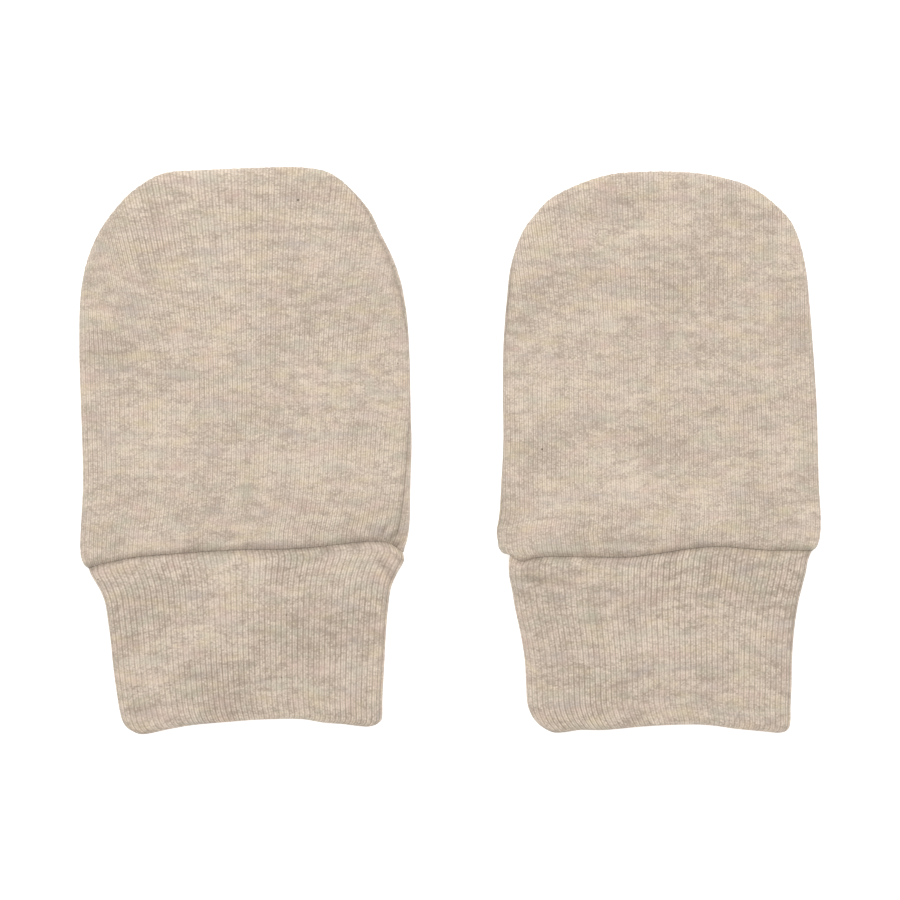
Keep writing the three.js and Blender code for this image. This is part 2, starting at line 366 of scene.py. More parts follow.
@dataclass
class Outline:
    """The side and tip outline of one hand, from its lower right corner round to the left."""

    path: list[Vector]
    run_on: float = 6.0
    level_below: float = 8.0
    level_blend: float = 4.0
    low_margin: float = 1.0
    run_on_steps: int = 8
    way_window: int = 2

    def __post_init__(self) -> None:
        """Lengthen both ends straight down, and prepare the search for the nearest place."""
        down = Vector((0.0, -self.run_on))
        steps = self.run_on_steps
        head = [self.path[0] + down * (step / steps) for step in range(steps, 0, -1)]
        tail = [self.path[-1] + down * (step / steps) for step in range(1, steps + 1)]
        lengths = [0.0]
        for before, after in zip(self.path, self.path[1:]):
            lengths.append(lengths[-1] + (after - before).length)
        self.shares = (
            [0.0] * steps + [length / lengths[-1] for length in lengths] + [1.0] * steps
        )
        self.length = lengths[-1]
        self.path = head + self.path + tail
        self.tree = KDTree(len(self.path))
        for index, point in enumerate(self.path):
            self.tree.insert((point.x, point.y, 0.0), index)
        self.tree.balance()
        self.inward = []
        for index in range(len(self.path)):
            before = self.path[max(index - self.way_window, 0)]
            after = self.path[min(index + self.way_window, len(self.path) - 1)]
            way = (after - before).normalized()
            level = Vector((-1.0 if self.path[index].x > 0.0 else 1.0, 0.0))
            high = ease(self.path[index].y, self.level_below, self.level_below + self.level_blend)
            self.inward.append(level.lerp(Vector((-way.y, way.x)), high).normalized())
        shared = list(zip(self.path, self.shares))
        self.low_right = self._low_side([pair for pair in shared if pair[0].x > 0])
        self.low_left = self._low_side([pair for pair in reversed(shared) if pair[0].x < 0])

    def _low_side(self, side: list[tuple[Vector, float]]) -> LineTable:
        """Make the table of the low part of a side, read by height.

        Args:
            side: the side's points from the lowest up, each with its share of the way round.

        Returns:
            The table of places across and shares of the way round.
        """
        top = self.level_below + self.level_blend + self.low_margin
        low = [(point.y, point.x, share) for point, share in side if point.y < top]
        return LineTable(*zip(*low))

    def foot(self, across: float, up: float) -> Foot:
        """Place on the outline that a point belongs to.

        It is the nearest one, and straight across for points low down, where the sides turn in
        towards the cuff.

        Args:
            across: the point's place across the hand.
            up: the point's place up the hand.

        Returns:
            The foot of the point on the outline.
        """
        high = ease(up, self.level_below, self.level_below + self.level_blend)
        if high == 0.0:
            return self._level_foot(across, up)
        near = self._nearest_foot(across, up)
        if high == 1.0:
            return near
        level = self._level_foot(across, up)
        return Foot(
            level.point.lerp(near.point, high),
            level.inward.lerp(near.inward, high).normalized(),
            mix(level.inside, near.inside, high),
            mix(level.share, near.share, high),
        )

    def _level_foot(self, across: float, up: float) -> Foot:
        """Place on the side of the outline straight across from a point.

        Args:
            across: the point's place across the hand.
            up: the point's place up the hand.

        Returns:
            The foot of the point on that side.
        """
        side = self.low_right if across > 0.0 else self.low_left
        inward = Vector((-1.0, 0.0)) if across > 0.0 else Vector((1.0, 0.0))
        side_across, share = side.at(up)
        point = Vector((side_across, up))
        inside = (Vector((across, up)) - point).dot(inward)
        return Foot(point, inward, inside, share)

    def _nearest_foot(self, across: float, up: float) -> Foot:
        """Nearest place on the outline to a point.

        Args:
            across: the point's place across the hand.
            up: the point's place up the hand.

        Returns:
            The foot of the point there.
        """
        _, index, _ = self.tree.find((across, up, 0.0))
        place = Vector((across, up))
        best = None
        for start in (max(index - 1, 0), min(index, len(self.path) - 2)):
            line = self.path[start + 1] - self.path[start]
            share = clamp((place - self.path[start]).dot(line) / line.length_squared)
            point = self.path[start] + line * share
            gap = (place - point).length
            if best is None or gap < best[0]:
                best = (gap, start, share, point)
        gap, start, share, point = best
        inward = self.inward[start].lerp(self.inward[start + 1], share).normalized()
        inside = gap if (place - point).dot(inward) >= 0 else -gap
        return Foot(point, inward, inside, mix(self.shares[start], self.shares[start + 1], share))

    def grown(self, margin: Callable[[float], float]) -> list[Vector]:
        """Move the outline outwards.

        Args:
            margin: gives how far, by the share of the way round.

        Returns:
            The moved points.
        """
        return [
            point - inward * margin(share)
            for point, inward, share in zip(self.path, self.inward, self.shares)
        ]


@dataclass(frozen=True)
class MittenCut:
    """The shape of one mitten, in millimetres from its own origin under the seam's middle."""

    name: str
    place: tuple[float, float]
    hand: tuple[HandRow, ...]
    tip: tuple[TipPoint, ...]
    corners: tuple[TipPoint, ...]
    cuff: tuple[CuffRow, ...]
    edges: tuple[EdgeRow, ...]
    ribs: tuple[RibRow, ...]
    seam: tuple[SeamRow, ...]
    # Shares across where the groove's painted shade starts, becomes full, starts to fade and
    # ends.
    groove: tuple[float, float, float, float]
    hand_ribs: int
    front_creases: tuple[Crease, ...]
    back_creases: tuple[Crease, ...]
    cuff_creases: tuple[Crease, ...]

    def seam_curve(self) -> RowCurve:
        """Height of the seam between hand and cuff by the share across."""
        return RowCurve(self.edges, "across", "seam")

    def seam_share(self, across: float) -> float:
        """Share of the way along the seam between hand and cuff at a place across."""
        left = self.cuff[0].left
        return clamp((across - left) / (self.cuff[0].right - left))

    def groove_share(self, across: float) -> float:
        """How strongly the groove's painted shade shows between hand and cuff, 0 to 1, at a share
        across.
        """
        start, opened, closing, end = self.groove
        return ease(across, start, opened) * (1.0 - ease(across, closing, end))

    def seam_point(self, across: float) -> Vector:
        """Point of the seam line at a share across."""
        left = self.cuff[0].left
        right = self.cuff[0].right
        return Vector((mix(left, right, across), self.seam_curve().at(across)))

    def outline(self) -> Outline:
        """Outline of the hand from the lower right corner round to the lower left one."""
        corners = [Vector((point.across, point.up)) for point in self.corners]
        points = [self.seam_point(1.0)]
        points += [corner for corner in corners if corner.x > 0]
        points += [Vector((row.right, row.up)) for row in self.hand]
        points += [Vector((point.across, point.up)) for point in reversed(self.tip)]
        points += [Vector((row.left, row.up)) for row in reversed(self.hand)]
        points += [corner for corner in corners if corner.x < 0]
        points.append(self.seam_point(0.0))
        return Outline(smooth_path(points, OUTLINE_STEPS))


LEFT_CUT = MittenCut(
    name="left",
    place=(-43.35, -21.2),
    hand=rows(
        HandRow,
        (2.3, -34.9, 34.2), (6.1, -34.7, 34.7), (14.6, -34.3, 34.9), (23.1, -34.5, 35.1),
        (31.6, -34.8, 34.9), (42.2, -35.1, 34.7), (52.8, -34.9, 33.7), (60.4, -33.7, 31.7),
        (67.2, -31.0, 28.5), (72.7, -27.1, 25.6),
    ),
    tip=rows(
        TipPoint,
        (-23.1, 76.6), (-17.2, 79.8), (-8.5, 80.5), (3.2, 81.0), (12.7, 81.0), (19.1, 79.2),
    ),
    corners=rows(
        TipPoint,
        (33.7, 0.8), (-34.9, 0.2), (-34.7, -1.6), (-34.1, -3.0),
    ),
    cuff=rows(
        CuffRow,
        (0.0, -33.2, 33.4), (0.05, -32.5, 33.7), (0.12, -31.0, 32.3), (0.2, -29.8, 31.0),
        (0.3, -29.2, 30.4), (0.45, -28.5, 29.9), (0.6, -28.0, 29.6), (0.75, -27.3, 29.3),
        (0.86, -26.7, 29.1), (0.93, -26.1, 29.1), (0.97, -25.3, 29.0), (1.0, -24.1, 28.3),
    ),
    edges=rows(
        EdgeRow,
        (0.0, -3.8, -38.3), (0.04, -3.0, -38.9), (0.08, -2.4, -38.7), (0.15, -1.5, -37.9),
        (0.25, -0.9, -37.0), (0.4, -0.2, -36.3), (0.5, 0.1, -35.9), (0.62, 0.2, -35.7),
        (0.7, 0.5, -35.8), (0.78, 1.1, -36.5), (0.86, 1.7, -36.8), (0.92, 1.9, -37.2),
        (0.96, 1.4, -37.3), (1.0, -0.4, -36.8),
    ),
    ribs=rows(
        RibRow,
        (0.0, -34.9, 0.0), (0.15, -30.1, -0.8), (0.24, -25.9, -0.6), (0.37, -14.4, -0.2),
        (0.52, 1.1, -0.3), (0.7, 17.0, -0.5), (0.8, 24.5, -0.6), (0.9, 30.6, -0.5),
        (0.96, 32.6, -0.2), (1.0, 34.6, 0.0),
    ),
    seam=rows(
        SeamRow,
        (0.0, 3.6), (0.012, 3.3), (0.024, 2.95), (0.038, 2.55), (0.053, 2.15), (0.08, 1.75),
        (0.118, 1.3), (0.15, 0.4), (0.2, 0.3), (0.24, 1.2), (0.35, 1.2), (0.4, 0.1), (0.6, 0.0),
        (0.9, 0.1), (1.0, 0.0),
    ),
    groove=(-0.02, -0.01, 0.925, 0.975),
    hand_ribs=71,
    front_creases=rows(
        Crease,
        ((-31.0, 3.0), (-20.0, 6.5), 2.6, 0.18), ((28.2, 2.4), (31.0, 6.6), 0.5, -0.36),
        ((29.3, 2.2), (31.9, 5.6), 0.45, 0.32), ((30.2, 1.6), (32.8, 4.8), 0.45, -0.42),
        ((31.3, 1.3), (33.3, 3.6), 0.4, 0.3), ((31.6, 0.5), (33.8, 2.4), 0.4, -0.36),
        ((-22.0, 30.0), (-6.0, 44.0), 6.0, -0.14), ((6.0, 22.0), (26.0, 40.0), 7.0, 0.12),
        ((-12.0, 66.0), (16.0, 69.0), 4.5, -0.15), ((16.8, 78.0), (16.2, 73.6), 0.3, -0.24),
        ((18.3, 77.6), (17.6, 73.0), 0.3, -0.28), ((19.8, 77.2), (19.0, 73.2), 0.3, -0.28),
        ((21.4, 76.4), (20.4, 72.8), 0.3, -0.24),
    ),
    back_creases=rows(
        Crease,
        ((-20.0, 12.0), (4.0, 24.0), 3.0, -0.25), ((10.0, 40.0), (24.0, 58.0), 3.5, -0.22),
        ((-26.0, 50.0), (-14.0, 62.0), 2.6, -0.2),
    ),
    cuff_creases=rows(
        Crease,
        ((28.8, -1.8), (30.2, -5.8), 0.9, -0.36), ((27.4, 0.2), (32.4, -3.4), 0.6, 0.25),
        ((30.4, -0.2), (33.2, -2.6), 0.5, -0.25), ((-29.0, -6.5), (-22.0, -5.0), 1.2, -0.15),
        ((-18.0, -24.0), (-12.0, -34.0), 3.0, -0.12),
        ((10.0, -14.0), (20.0, -30.0), 3.4, -0.12),
    ),
)

RIGHT_CUT = MittenCut(
    name="right",
    place=(44.84, -21.84),
    hand=rows(
        HandRow,
        (2.3, -34.6, 33.2), (4.7, -34.9, 33.6), (8.5, -34.3, 33.6), (15.3, -33.9, 33.2),
        (23.7, -33.5, 33.0), (32.2, -33.6, 32.7), (42.8, -33.5, 32.0), (53.4, -32.8, 31.2),
        (61.1, -31.8, 30.3), (67.8, -29.6, 28.5), (72.1, -26.5, 25.8),
    ),
    tip=rows(
        TipPoint,
        (-23.4, 75.2), (-17.4, 78.2), (-10.4, 80.3), (-2.3, 80.8), (6.1, 80.6), (12.9, 79.5),
        (19.5, 77.2),
    ),
    corners=rows(
        TipPoint,
        (32.6, 1.2), (-34.5, 1.3), (-33.9, 0.3), (-33.0, -0.2),
    ),
    cuff=rows(
        CuffRow,
        (0.0, -32.2, 31.8), (0.05, -32.5, 31.0), (0.12, -32.4, 30.5), (0.2, -31.8, 29.7),
        (0.3, -31.2, 28.8), (0.45, -30.0, 28.0), (0.6, -29.1, 27.6), (0.75, -28.8, 27.5),
        (0.86, -28.5, 27.3), (0.93, -27.5, 27.3), (0.97, -26.3, 27.1), (1.0, -25.0, 26.5),
    ),
    edges=rows(
        EdgeRow,
        (0.0, -0.3, -37.1), (0.04, -1.7, -37.9), (0.08, -1.0, -37.9), (0.15, -0.7, -37.4),
        (0.25, -0.8, -37.4), (0.4, -0.8, -36.7), (0.5, 0.0, -36.4), (0.62, 1.1, -36.25),
        (0.7, 1.4, -36.5), (0.78, 1.0, -37.1), (0.86, 0.6, -37.5), (0.92, 0.6, -37.8),
        (0.96, 0.6, -38.0), (1.0, 0.5, -37.8),
    ),
    ribs=rows(
        RibRow,
        (0.0, -33.4, 0.0), (0.09, -30.8, 0.8), (0.22, -22.9, 1.4), (0.38, -10.4, 1.2),
        (0.51, 0.0, 0.6), (0.7, 12.7, 0.2), (0.86, 23.5, 0.0), (0.95, 29.4, 0.0),
        (1.0, 32.0, 0.0),
    ),
    seam=rows(
        SeamRow,
        (0.0, 0.1), (0.3, 0.0), (0.66, 0.1), (0.71, 0.9), (0.76, 0.8), (0.82, 0.3), (0.9, 0.4),
        (0.95, 1.0), (0.98, 0.5), (1.0, 0.0),
    ),
    groove=(0.005, 0.04, 1.01, 1.02),
    hand_ribs=70,
    front_creases=rows(
        Crease,
        ((-32.0, 2.6), (-24.0, 2.0), 1.2, 0.2), ((-14.0, 26.0), (6.0, 36.0), 6.5, -0.14),
        ((12.0, 10.0), (28.0, 22.0), 6.0, 0.12), ((-8.0, 64.0), (18.0, 66.0), 5.0, -0.14),
        ((27.0, 30.0), (29.0, 52.0), 3.0, 0.12),
    ),
    back_creases=rows(
        Crease,
        ((-24.0, 18.0), (-8.0, 34.0), 3.0, -0.24), ((4.0, 52.0), (22.0, 62.0), 3.2, -0.22),
        ((14.0, 10.0), (26.0, 22.0), 2.8, -0.2),
    ),
    cuff_creases=rows(
        Crease,
        ((-34.0, -5.0), (-19.0, -6.4), 1.1, -0.5), ((-30.5, -3.2), (-23.0, -3.6), 0.9, 0.25),
        ((-30.8, -7.6), (-24.0, -8.2), 1.1, 0.2), ((16.0, -6.0), (26.0, -12.0), 2.0, -0.14),
        ((-10.0, -20.0), (-2.0, -32.0), 3.4, -0.12),
    ),
)


@dataclass
class Roll:
    """Quarter ellipse over which a panel's cloth turns from its upright edge to the flat, read
    by the length of cloth along it."""

    width: float
    height: float
    steps: int = 48

    def __post_init__(self) -> None:
        """Measure the cloth along the roll, with the way in and the rise at each step."""
        lengths = [0.0]
        insets = [0.0]
        rises = [0.0]
        for step in range(1, self.steps + 1):
            angle = 0.5 * math.pi * step / self.steps
            insets.append(self.width * (1.0 - math.cos(angle)))
            rises.append(self.height * math.sin(angle))
            lengths.append(
                lengths[-1] + math.hypot(insets[-1] - insets[-2], rises[-1] - rises[-2])
            )
        self.table = LineTable(lengths, insets, rises)
        self.length = lengths[-1]
        self.extra = self.length - self.width

    def at(self, cloth: float) -> tuple[float, float]:
        """Read the roll.

        Args:
            cloth: length of cloth from the upright edge.

        Returns:
            How far in from the outline the cloth lies, and its rise over the edge.
        """
        if cloth >= self.length:
            return cloth - self.extra, self.height
        inset, rise = self.table.at(cloth)
        return inset, rise

    def lean(self, inset: float) -> tuple[float, float]:
        """Find the way that the cloth faces.

        Args:
            inset: how far in from the outline it lies.

        Returns:
            The shares of the way out and of the way up.
        """
        upright = clamp(1.0 - inset / self.width)
        out = self.height * upright
        up = self.width * math.sqrt(1.0 - upright * upright)
        length = math.hypot(out, up)
        return out / length, up / length


class Face(Enum):
    """The two panels of a hand."""

    FRONT = "front"
    BACK = "back"


class KnitShell:
    """A grid of cloth that a piece is shaped from, with its UV map and its vertex attribute of
    painted shade.
    """

    def __init__(self, name: str, columns: int, rows_up: int) -> None:
        """Start the grid, one unit wide and long, around its middle.

        Args:
            name: name of the piece.
            columns: faces across the ribs.
            rows_up: faces along them.
        """
        self.name = name
        self.mesh = bmesh.new()
        self.uv_map = self.mesh.loops.layers.uv.new(UV_NAME)
        # Per-vertex share of painted shade, read by the material.
        self.crease = self.mesh.verts.layers.float.new(PAINTED_SHADE_ATTRIBUTE)
        bmesh.ops.create_grid(self.mesh, x_segments=columns, y_segments=rows_up, size=0.5)

    def map_cloth(
        self, cloth: dict[bmesh.types.BMVert, tuple[float, float]], offset: float
    ) -> None:
        """Write the UV map.

        Args:
            cloth: for each vertex the count of ribs and the millimetres along them.
            offset: how far the pattern is moved.
        """
        for face in self.mesh.faces:
            for loop in face.loops:
                rib, along = cloth[loop.vert]
                loop[self.uv_map].uv = ((rib + offset) / UV_UNIT, (along + offset) / UV_UNIT)

    def finish(self, place: tuple[float, float], slot: str, node: str) -> bpy.types.Object:
        """Turn the shell into a piece of the scene at its place.

        Args:
            place: the mitten's origin on the table, in millimetres.
            slot: not used.
            node: the CAD node that the piece replaces.

        Returns:
            The piece, riding on the frame.
        """
        bmesh.ops.translate(self.mesh, vec=(*place, 0.0), verts=self.mesh.verts)
        bmesh.ops.scale(self.mesh, vec=(MM, MM, MM), verts=self.mesh.verts)
        for face in self.mesh.faces:
            face.smooth = True
        mesh = bpy.data.meshes.new(self.name)
        self.mesh.to_mesh(mesh)
        self.mesh.free()
        piece = bpy.data.objects.new(self.name, mesh)
        bpy.context.scene.collection.objects.link(piece)
        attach(piece, "root")
        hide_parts(node)
        triangles = sum(len(polygon.vertices) - 2 for polygon in mesh.polygons)
        log.info("%s: %d triangles", self.name, triangles)
        return piece


def ribbed(phase: float) -> float:
    """Height of a rib across its pitch, 0 in the furrow and 1 along its back.

    Args:
        phase: place across the ribs, whole numbers in the furrows.

    Returns:
        The height as a share of the rib's depth.
    """
    away = abs(2.0 * (phase - math.floor(phase)) - 1.0)
    return 1.0 - away**2.5


@dataclass
class HandPanel:
    """One panel of a hand: fine rib knit, its ribs running up the hand."""

    cut: MittenCut
    face: Face
    middle_height: float = 1.85
    front_height: float = 3.35
    roll_width: float = 1.9
    ridge_rise: float = 0.4
    ridge_inset: float = 4.2
    ridge_spread: float = 2.3
    groove_drop: float = 0.72
    groove_reach: float = 0.85
    groove_lift: float = 0.3
    seam_gap: float = 0.01
    wall: float = 0.85
    wall_at_seam: float = 0.4
    rib_depth: float = 0.13
    side_bulge: float = 0.14
    straight_up: float = 38.0
    pull_reach: float = 17.0
    seam_sink: float = 0.1
    seam_spread: float = 0.5
    stitch_pitch: float = 2.1
    stitch_sink: float = 0.08
    corner_height: float = 4.0
    corner_power: int = 12
    pull_foot: float = -2.0
    bottom_fits: int = 4
    end_share: float = 0.02
    least_fan: float = 0.5
    fan_power: float = 1.35
    crowded_rows: float = 0.8
    ridge_blend: float = 2.0
    flat_margin: float = 0.5
    dents_start: float = 2.0
    dents_full: float = 6.0
    bulge_spread: float = 1.2
    stitch_spread: float = 0.7
    thin_share: float = 0.5
    line_shade: float = 0.2
    stitch_shade: float = 0.2
    edge_shade: float = 0.15
    edge_spread: float = 1.0
    hidden_seam_shade: float = 0.7
    climbed_seam_shade: float = 1.8
    shade: GrooveShade = GrooveShade(narrow=0.45, wide=0.9, narrow_share=0.7)

    def __post_init__(self) -> None:
        """Prepare the outline, the rolls and the curves of the cut."""
        self.outline = self.cut.outline()
        self.full_rise = self.front_height - self.middle_height
        self.over = Roll(self.roll_width, self.full_rise)
        self.under = Roll(self.roll_width, self.middle_height)
        self.seam_line = self.cut.seam_curve()
        self.climb = RowCurve(self.cut.seam, "share", "climb")
        self.tip_across = RowCurve(self.cut.ribs, "share", "tip_across")
        self.seam_pull = RowCurve(self.cut.ribs, "share", "seam_pull")
        self.columns_per_rib = 6 if self.face is Face.FRONT else 4
        self.rows = 66 if self.face is Face.FRONT else 46
        self._prepare_pattern()

    def _margin(self, share: float) -> float:
        """Cloth beyond the outline, up to the side seam.

        Args:
            share: share of the way round.

        Returns:
            The length of cloth.
        """
        if self.face is Face.FRONT:
            return self.over.extra - self.climb.at(share)
        return self.under.extra + self.climb.at(share)

    def _prepare_pattern(self) -> None:
        """Grow the outline to the panel's own cut, and split it at its widest stretch."""
        grown = self.outline.grown(self._margin)
        half = len(grown) // 2
        left, right = [
            LineTable([point.y for point in side], [point.x for point in side])
            for side in (grown[half:][::-1], grown[:half])
        ]
        self.left_side = left
        self.right_side = right
        high = [point for point in grown if point.y > self.straight_up]
        widest_right = max(range(len(high)), key=lambda index: high[index].x)
        widest_left = min(range(len(high)), key=lambda index: high[index].x)
        top = high[widest_right : widest_left + 1][::-1]
        self.top = LineTable([point.x for point in top], [point.y for point in top])

    def _sides(self, up: float) -> tuple[float, float]:
        """Places across of the cut's left and right side at a height."""
        return self.left_side.at(up)[0], self.right_side.at(up)[0]

    def _rib_line(self, share: float) -> Callable[[float], tuple[float, float]]:
        """Course of one rib up the panel.

        Args:
            share: the rib's place across the panel, from 0 to 1.

        Returns:
            A function from the share of the rib's length to a point of the flat cut.
        """
        start = mix(*self._sides(self.straight_up), share)
        left_top = self.top.places[0]
        right_top = self.top.places[-1]
        end = clamp(self.tip_across.at(share), left_top, right_top)
        end = mix(left_top, end, ease(share, 0.0, self.end_share))
        end = mix(right_top, end, ease(1.0 - share, 0.0, self.end_share))
        top = max(self.top.at(end)[0], self.straight_up + self.least_fan)
        pull = self.seam_pull.at(share)

        def point(way: float) -> tuple[float, float]:
            """Find a point of the rib.

            Args:
                way: share of the rib's length.

            Returns:
                Its place across and up the flat cut.
            """
            guess = start
            bottom = 0.0
            for _ in range(self.bottom_fits):
                laid_across = self._laid_across(self.outline.foot(guess, bottom))
                bottom = self.seam_line.at(self.cut.seam_share(laid_across)) + self.seam_gap
                guess = self._low_across(share, bottom, pull)
            up = mix(bottom, top, way)
            if up <= self.straight_up:
                return self._low_across(share, up, pull), up
            rise = (up - self.straight_up) / (top - self.straight_up)
            return mix(start, end, rise**self.fan_power), up

        return point

    def _low_across(self, share: float, up: float, pull: float) -> float:
        """Place across of a rib below the height where it starts to fan out.

        Args:
            share: the rib's place across the panel, from 0 to 1.
            up: place up the flat cut.
            pull: how far the seam pulls the rib sideways.

        Returns:
            The place across the flat cut.
        """
        left, right = self._sides(max(up, self.corner_height))
        low_left, low_right = self._sides(up)
        straight = mix(left, right, share)
        straight += (low_left - left) * (1.0 - share) ** self.corner_power
        straight += (low_right - right) * share**self.corner_power
        return straight + pull * (1.0 - clamp((up - self.pull_foot) / self.pull_reach)) ** 2

    def _rolled(self, foot: Foot) -> tuple[bool, float, float]:
        """Where cloth lies on the panel's rolled edge.

        Args:
            foot: the cloth's foot on the outline, in the flat cut.

        Returns:
            Whether it lies over the height of the edge, how far in from the outline, and how
            far over or under that height.
        """
        if self.face is Face.FRONT:
            return True, *self.over.at(max(foot.inside + self.over.extra, 0.0))
        cloth = foot.inside + self.under.extra
        if cloth < 0.0:
            return True, *self.over.at(-cloth)
        return False, *self.under.at(cloth)

    def _laid_across(self, foot: Foot) -> float:
        """Place across where cloth comes to lie, by its foot on the outline."""
        return foot.point.x + foot.inward.x * self._rolled(foot)[1]

    def _row_share(self, place: float) -> float:
        """Share of a rib's length for an even place, closer together at both ends."""
        turn = 2.0 * math.pi
        return place - self.crowded_rows * math.sin(turn * place) / turn

    def _crown(self, inside: float, over_seam: float) -> float:
        """Ridge that the seam allowance raises in the front panel.

        Args:
            inside: distance inside the outline.
            over_seam: distance above the seam between hand and cuff.

        Returns:
            The height that it adds.
        """
        nearest = min(inside, over_seam)
        apart = abs(inside - over_seam)
        if apart < self.ridge_blend:
            nearest -= (self.ridge_blend - apart) ** 2 / (4.0 * self.ridge_blend)
        return self.ridge_rise * hump(nearest - self.ridge_inset, self.ridge_spread)

    def _stitch(self, run: float) -> float:
        """Dent of the sewing thread along a seam, 0 to 1, by millimetres run."""
        return (0.5 + 0.5 * math.cos(2.0 * math.pi * run / self.stitch_pitch)) ** 2

    def _lie(self, across: float, up: float) -> tuple[Vector, Vector, float, float]:
        """Where a point of the flat cut lies on the laid mitten.

        Args:
            across: place across the flat cut.
            up: place up the flat cut.

        Returns:
            The point, the way out of the cloth, the depth that its seams press into it there, and
            the share of painted shade there, from 0 to 1, in the groove, along the seam and in
            fold troughs.
        """
        foot = self.outline.foot(across, up)
        over, inset, rise = self._rolled(foot)
        laid_across = foot.point.x + foot.inward.x * inset
        share = self.cut.seam_share(laid_across)
        over_seam = max(up - self.seam_line.at(share), 0.0)
        dip = hump(over_seam, self.groove_reach)
        climb = self.climb.at(foot.share)
        if self.face is Face.FRONT:
            from_seam = foot.inside + self.over.extra - climb
            crowned = foot.inside
        else:
            from_seam = foot.inside + self.under.extra + climb
            crowned = inset
        folds = 0.0
        if over:
            out, above = self.over.lean(inset)
            folds = sum(crease.at(laid_across, up) for crease in self.cut.front_creases)
            raised = self._crown(crowned, over_seam) + folds - self.groove_drop * dip
            height = self.middle_height + rise + raised * (rise / self.full_rise)
        else:
            out, above = self.under.lean(inset)
            above = -above
            dents = sum(crease.at(across, up) for crease in self.cut.back_creases)
            height = self.middle_height - rise + self.groove_lift * dip
            height -= dents * ease(foot.inside, self.dents_start, self.dents_full)
        if foot.inside > self.roll_width + self.flat_margin:
            place = Vector((across, up, height))
            way = Vector((0.0, 0.0, above))
        else:
            way = Vector((-foot.inward.x * out, -foot.inward.y * out, above))
            bulge = self.side_bulge * hump(inset, self.bulge_spread)
            flat = foot.point + foot.inward * (inset - bulge)
            place = Vector((flat.x, flat.y, height))
        at_seam = hump(from_seam, self.seam_spread)
        stitch = self._stitch(foot.share * self.outline.length)
        dent = hump(from_seam, self.stitch_spread) * stitch
        sink = self.seam_sink * at_seam + self.stitch_sink * dent
        # Painted shade along the side seam, darker where the seam climbs onto the front, in the
        # groove and in fold troughs.
        seen = mix(self.hidden_seam_shade, self.climbed_seam_shade, clamp(climb))
        seam_shade = self.line_shade * at_seam + self.stitch_shade * dent
        seam_shade += self.edge_shade * hump(from_seam, self.edge_spread)
        groove_shade = self.cut.groove_share(share) * self.shade.at(over_seam, laid_across)
        return place, way, sink, clamp(seen * seam_shade + groove_shade + fold_shade(folds))

    def build(self, finish: "KnitFinish") -> bpy.types.Object:
        """Build the panel as a thin ribbed shell and dress it.

        Args:
            finish: the knit that the panel is made of.

        Returns:
            The piece in the scene.
        """
        name = f"{self.cut.name}_knit_{self.face.value}"
        columns = self.cut.hand_ribs * self.columns_per_rib
        shell = KnitShell(name, columns, self.rows)
        mesh = shell.mesh
        lines: dict[int, Callable[[float], tuple[float, float]]] = {}
        laid = {}
        cloth = {}
        for vert in mesh.verts:
            column = round((vert.co.x + 0.5) * columns)
            if column not in lines:
                lines[column] = self._rib_line(column / columns)
            across, up = lines[column](self._row_share(vert.co.y + 0.5))
            place, out, sink, vert[shell.crease] = self._lie(across, up)
            cloth[vert] = (column / self.columns_per_rib, up)
            laid[vert] = (place, out, sink)
        shell.map_cloth(cloth, finish.piece_offset(name))
        if self.face is Face.BACK:
            bmesh.ops.reverse_faces(mesh, faces=mesh.faces)
        copied = bmesh.ops.duplicate(mesh, geom=mesh.verts[:] + mesh.edges[:] + mesh.faces[:])
        inner = [item for item in copied["geom"] if isinstance(item, bmesh.types.BMFace)]
        bmesh.ops.reverse_faces(mesh, faces=inner)
        twins = copied["vert_map"]
        for vert, (place, out, sink) in laid.items():
            near_seam = clamp(sink / self.seam_sink)
            wall = mix(self.wall, self.wall_at_seam, near_seam)
            twins[vert].co = place - out * (wall + self.thin_share * sink)
            depth = self.rib_depth * (1.0 - self.thin_share * near_seam)
            vert.co = place - out * (sink + (1.0 - ribbed(cloth[vert][0])) * depth)
        bmesh.ops.bridge_loops(mesh, edges=[edge for edge in mesh.edges if edge.is_boundary])
        piece = shell.finish(
            self.cut.place, "hand_knit", f"{self.cut.name}_hand_{self.face.value}"
        )
        finish.dress(piece)
        return piece


